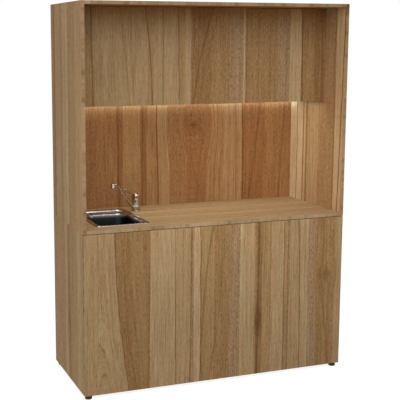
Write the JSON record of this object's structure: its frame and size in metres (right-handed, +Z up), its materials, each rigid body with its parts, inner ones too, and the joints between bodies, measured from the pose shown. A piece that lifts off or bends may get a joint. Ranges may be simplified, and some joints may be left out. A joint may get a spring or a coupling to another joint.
{
  "type": "kitchenette unit",
  "caption": "Compact kitchenette: base cabinet with sink, mixer tap and worktop, full-height side panels, lit niche and recessed wall cabinet, all doors without handles.",
  "frame": {"origin": "on the floor under the middle of the unit's box", "axes": "+X to the right as seen from the front, +Y from the front to the wall side, +Z up"},
  "size_m": [1.5, 0.6, 2.03],
  "materials": {
    "decor": "textured wood-grain laminate on chipboard, satin",
    "door_decor": "textured wood-grain laminate on chipboard, satin, upright grain",
    "worktop_decor": "textured wood-grain laminate on chipboard, satin, lengthwise grain",
    "back_board": "thin hardboard with printed wood grain",
    "sink_steel": "pressed stainless steel, satin",
    "tap_chrome": "polished chrome plate",
    "hinge_steel": "nickel-plated steel",
    "black_plastic": "moulded black plastic",
    "grey_plastic": "moulded grey plastic",
    "white_plastic": "moulded white plastic",
    "light_metal": "anodised extrusion",
    "light_cover": "milky diffuser",
    "light_board": "white circuit strip",
    "brass_fixing": "plain brass"
  },
  "bodies": {
    "carcass": {"lower_side_left": "decor", "lower_side_right": "decor", "lower_bottom": "decor", "lower_dividers": "decor", "top_rails": "decor", "lower_shelves": "decor", "upper_side_left": "decor", "upper_side_right": "decor", "top_panel": "decor", "splash_back": "decor", "wall_bottom": "decor", "upper_dividers": "decor", "upper_shelves": "decor", "worktop": "worktop_decor", "lower_back": "back_board", "sink": "sink_steel", "waste_flange": "sink_steel", "tap_body": "tap_chrome", "hinge_arms": "hinge_steel", "shelf_pins": "hinge_steel", "sink_clips": "hinge_steel", "foot_sockets": "black_plastic", "push_latches": "grey_plastic", "cartridge": "grey_plastic", "tail_pipe": "white_plastic", "bottle_trap": "white_plastic", "trap_nuts": "white_plastic", "waste_pipe": "white_plastic", "light_profile": "light_metal", "light_diffuser": "light_cover", "light_circuit": "light_board", "tap_fixing": "brass_fixing"},
    "strainer": {"strainer": "sink_steel"},
    "spout": {"tap_spout": "tap_chrome", "aerator": "grey_plastic"},
    "tap_turn": {"tap_dome": "tap_chrome", "lever_pin": "tap_chrome"},
    "lever": {"tap_lever": "tap_chrome"},
    "leaf_lower_left": {"door_lower_left": "door_decor", "hinge_cups_lower_left": "hinge_steel"},
    "latch_pin_lower_left": {"plunger_lower_left": "grey_plastic"},
    "leaf_lower_middle": {"door_lower_middle": "door_decor", "hinge_cups_lower_middle": "hinge_steel"},
    "latch_pin_lower_middle": {"plunger_lower_middle": "grey_plastic"},
    "leaf_lower_right": {"door_lower_right": "door_decor", "hinge_cups_lower_right": "hinge_steel"},
    "latch_pin_lower_right": {"plunger_lower_right": "grey_plastic"},
    "leaf_upper_left": {"door_upper_left": "door_decor", "hinge_cups_upper_left": "hinge_steel"},
    "latch_pin_upper_left": {"plunger_upper_left": "grey_plastic"},
    "leaf_upper_middle": {"door_upper_middle": "door_decor", "hinge_cups_upper_middle": "hinge_steel"},
    "latch_pin_upper_middle": {"plunger_upper_middle": "grey_plastic"},
    "leaf_upper_right": {"door_upper_right": "door_decor", "hinge_cups_upper_right": "hinge_steel"},
    "latch_pin_upper_right": {"plunger_upper_right": "grey_plastic"},
    "leveller_front_left": {"foot_front_left": "black_plastic"},
    "leveller_front_right": {"foot_front_right": "black_plastic"},
    "leveller_rear_left": {"foot_rear_left": "black_plastic"},
    "leveller_rear_right": {"foot_rear_right": "black_plastic"}
  },
  "joints": [
    {"name": "strainer_lift", "type": "slide", "parent": "carcass", "child": "strainer", "axis": [0, 0, 1], "range_m": [0, 0.05]},
    {"name": "spout_swivel", "type": "hinge", "parent": "carcass", "child": "spout", "pos_m": [-0.31, 0.15901, 0.89], "axis": [0, 0, 1], "range_deg": [-60, 120]},
    {"name": "temperature_turn", "type": "hinge", "parent": "carcass", "child": "tap_turn", "pos_m": [-0.31, 0.15901, 0.89], "axis": [0, 0, 1], "range_deg": [-45, 45]},
    {"name": "lever_lift", "type": "hinge", "parent": "tap_turn", "child": "lever", "pos_m": [-0.31, 0.15901, 0.972], "axis": [-0.5299, 0.848, 0], "range_deg": [0, 20]},
    {"name": "swing_lower_left", "type": "hinge", "parent": "carcass", "child": "leaf_lower_left", "pos_m": [-0.749, -0.3, 0.863], "axis": [0, 0, -1], "range_deg": [0, 100]},
    {"name": "push_lower_left", "type": "slide", "parent": "carcass", "child": "latch_pin_lower_left", "axis": [0, -1, 0], "range_m": [0, 0.02]},
    {"name": "swing_lower_middle", "type": "hinge", "parent": "carcass", "child": "leaf_lower_middle", "pos_m": [-0.249, -0.3, 0.863], "axis": [0, 0, -1], "range_deg": [0, 100]},
    {"name": "push_lower_middle", "type": "slide", "parent": "carcass", "child": "latch_pin_lower_middle", "axis": [0, -1, 0], "range_m": [0, 0.02]},
    {"name": "swing_lower_right", "type": "hinge", "parent": "carcass", "child": "leaf_lower_right", "pos_m": [0.749, -0.3, 0.863], "axis": [0, 0, 1], "range_deg": [0, 100]},
    {"name": "push_lower_right", "type": "slide", "parent": "carcass", "child": "latch_pin_lower_right", "axis": [0, -1, 0], "range_m": [0, 0.02]},
    {"name": "swing_upper_left", "type": "hinge", "parent": "carcass", "child": "leaf_upper_left", "pos_m": [-0.73, -0.093, 1.508], "axis": [0, 0, -1], "range_deg": [0, 90]},
    {"name": "push_upper_left", "type": "slide", "parent": "carcass", "child": "latch_pin_upper_left", "axis": [0, -1, 0], "range_m": [0, 0.02]},
    {"name": "swing_upper_middle", "type": "hinge", "parent": "carcass", "child": "leaf_upper_middle", "pos_m": [-0.24267, -0.093, 1.508], "axis": [0, 0, -1], "range_deg": [0, 90]},
    {"name": "push_upper_middle", "type": "slide", "parent": "carcass", "child": "latch_pin_upper_middle", "axis": [0, -1, 0], "range_m": [0, 0.02]},
    {"name": "swing_upper_right", "type": "hinge", "parent": "carcass", "child": "leaf_upper_right", "pos_m": [0.73, -0.093, 1.508], "axis": [0, 0, 1], "range_deg": [0, 90]},
    {"name": "push_upper_right", "type": "slide", "parent": "carcass", "child": "latch_pin_upper_right", "axis": [0, -1, 0], "range_m": [0, 0.02]},
    {"name": "level_front_left", "type": "hinge", "parent": "carcass", "child": "leveller_front_left", "pos_m": [-0.723, -0.271, 0], "axis": [0, 0, 1], "range_deg": [-180, 180]},
    {"name": "level_front_right", "type": "hinge", "parent": "carcass", "child": "leveller_front_right", "pos_m": [0.723, -0.271, 0], "axis": [0, 0, 1], "range_deg": [-180, 180]},
    {"name": "level_rear_left", "type": "hinge", "parent": "carcass", "child": "leveller_rear_left", "pos_m": [-0.723, 0.271, 0], "axis": [0, 0, 1], "range_deg": [-180, 180]},
    {"name": "level_rear_right", "type": "hinge", "parent": "carcass", "child": "leveller_rear_right", "pos_m": [0.723, 0.271, 0], "axis": [0, 0, 1], "range_deg": [-180, 180]}
  ],
  "couplings": [
    {"joint": "push_lower_left", "follows": "swing_lower_left", "m_per_rad": 0.011448},
    {"joint": "push_lower_middle", "follows": "swing_lower_middle", "m_per_rad": 0.011448},
    {"joint": "push_lower_right", "follows": "swing_lower_right", "m_per_rad": 0.011448},
    {"joint": "push_upper_left", "follows": "swing_upper_left", "m_per_rad": 0.01272},
    {"joint": "push_upper_middle", "follows": "swing_upper_middle", "m_per_rad": 0.01272},
    {"joint": "push_upper_right", "follows": "swing_upper_right", "m_per_rad": 0.01272}
  ]
}
